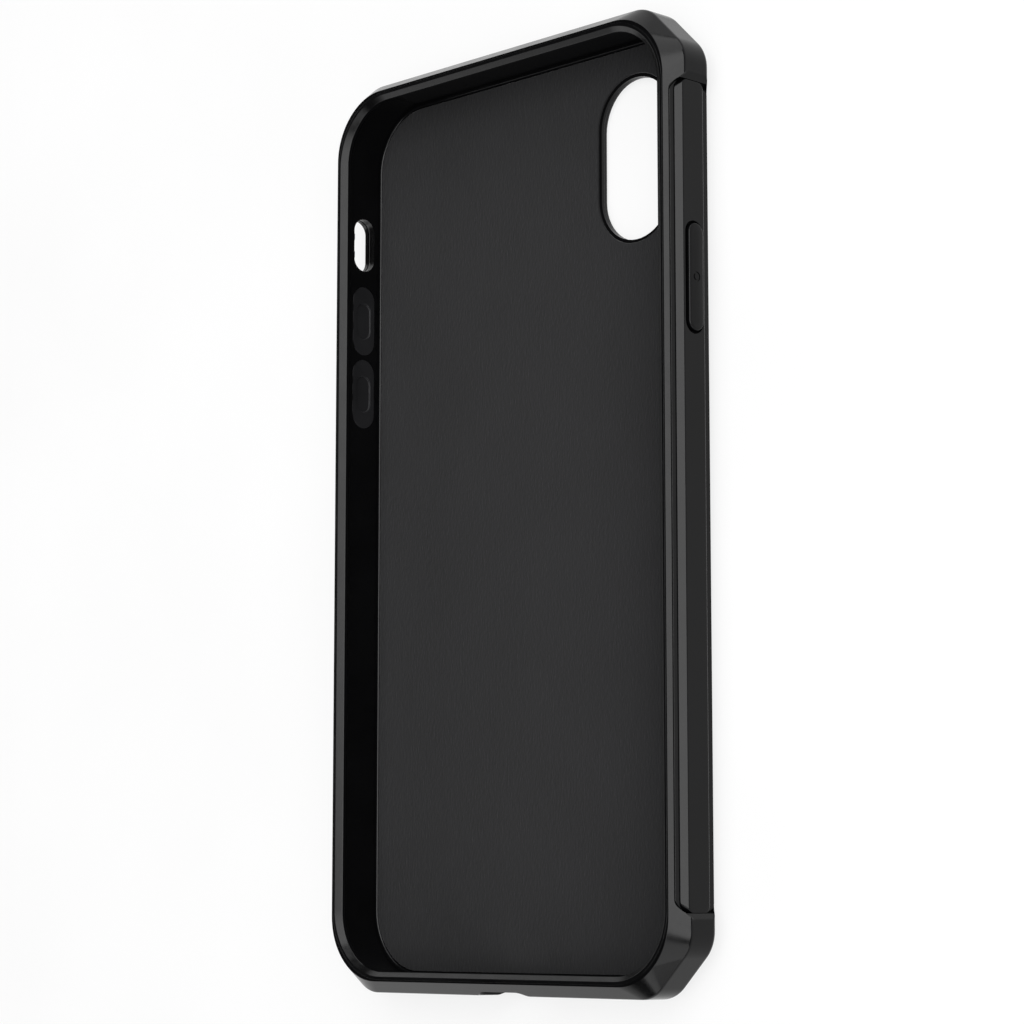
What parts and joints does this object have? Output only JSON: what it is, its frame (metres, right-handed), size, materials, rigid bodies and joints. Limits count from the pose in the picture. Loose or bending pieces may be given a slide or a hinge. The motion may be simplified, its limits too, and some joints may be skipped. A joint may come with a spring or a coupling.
{
  "type": "phone case",
  "caption": "Black rugged two-layer phone case with an open front, raised lip, chamfered corner blocks, recessed side rails, button covers and a rear camera opening.",
  "frame": {"origin": "middle of the rear face, in the plane of the rear rim that the case lies on", "axes": "+Z out of the open front, +Y along the length to the top end, +X to the right seen from the open front"},
  "size_m": [0.0824, 0.1572, 0.0111],
  "materials": {
    "soft_sleeve": "satin soft TPU",
    "hard_frame": "satin moulded polycarbonate",
    "rail": "satin moulded polycarbonate",
    "back_panel": "fine matt texture",
    "bezel": "satin",
    "microfibre": "short nap",
    "button_cover": "satin",
    "soft_membrane": "matt",
    "soft_cushion": "matt"
  },
  "bodies": {
    "case": {"inner_sleeve": "soft_sleeve", "outer_frame": "hard_frame", "side_rail_right": "rail", "side_rail_left": "rail", "back_plate": "back_panel", "camera_bezel": "bezel", "back_lining": "microfibre", "power_button_membrane": "soft_membrane", "volume_up_membrane": "soft_membrane", "volume_down_membrane": "soft_membrane", "corner_cushion_top_right": "soft_cushion", "corner_cushion_top_left": "soft_cushion", "corner_cushion_bottom_right": "soft_cushion", "corner_cushion_bottom_left": "soft_cushion"},
    "power_cover": {"power_button": "button_cover"},
    "volume_up_cover": {"volume_up_button": "button_cover"},
    "volume_down_cover": {"volume_down_button": "button_cover"}
  },
  "joints": [
    {"name": "power_press", "type": "slide", "parent": "case", "child": "power_cover", "axis": [-1, 0, 0], "range_m": [0, 0.0004], "stiffness_N_per_m": 1500, "deforming": ["power_button_membrane"]},
    {"name": "volume_up_press", "type": "slide", "parent": "case", "child": "volume_up_cover", "axis": [1, 0, 0], "range_m": [0, 0.0004], "stiffness_N_per_m": 1500, "deforming": ["volume_up_membrane"]},
    {"name": "volume_down_press", "type": "slide", "parent": "case", "child": "volume_down_cover", "axis": [1, 0, 0], "range_m": [0, 0.0004], "stiffness_N_per_m": 1500, "deforming": ["volume_down_membrane"]}
  ]
}
